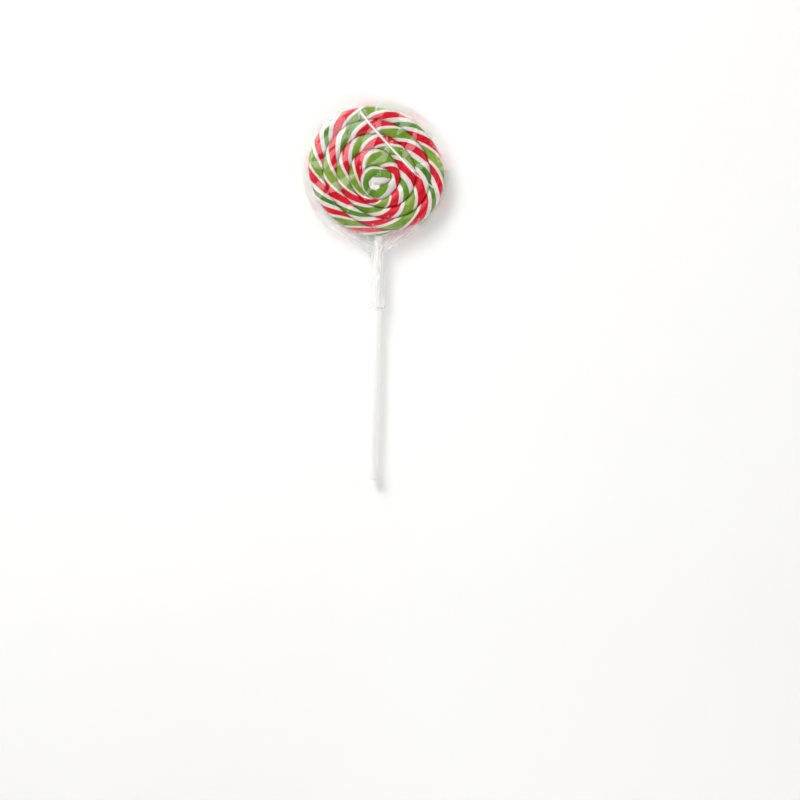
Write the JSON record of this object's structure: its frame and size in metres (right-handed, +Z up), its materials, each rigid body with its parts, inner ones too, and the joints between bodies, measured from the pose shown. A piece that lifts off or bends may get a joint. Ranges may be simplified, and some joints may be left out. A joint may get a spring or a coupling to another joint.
{
  "type": "swirl lollipop",
  "caption": "Twisted sugar rope coiled into a flat disc on a round white stick, inside a clear film bag gathered round the stick.",
  "frame": {"origin": "on the flat underside, below the middle of the disc", "axes": "+Z up out of the shown face of the swirl, -Y along the stick, +X to the right as the face is looked at with the stick down"},
  "size_m": [0.0892, 0.2296, 0.0125],
  "materials": {
    "candy": "glossy boiled sugar, white with red and green stripes twisted along the rope",
    "stick": "smooth satin white",
    "film": "thin clear glossy film with creases"
  },
  "bodies": {
    "root": {"candy": "candy", "stick": "stick", "wrapper": "film"}
  },
  "joints": []
}
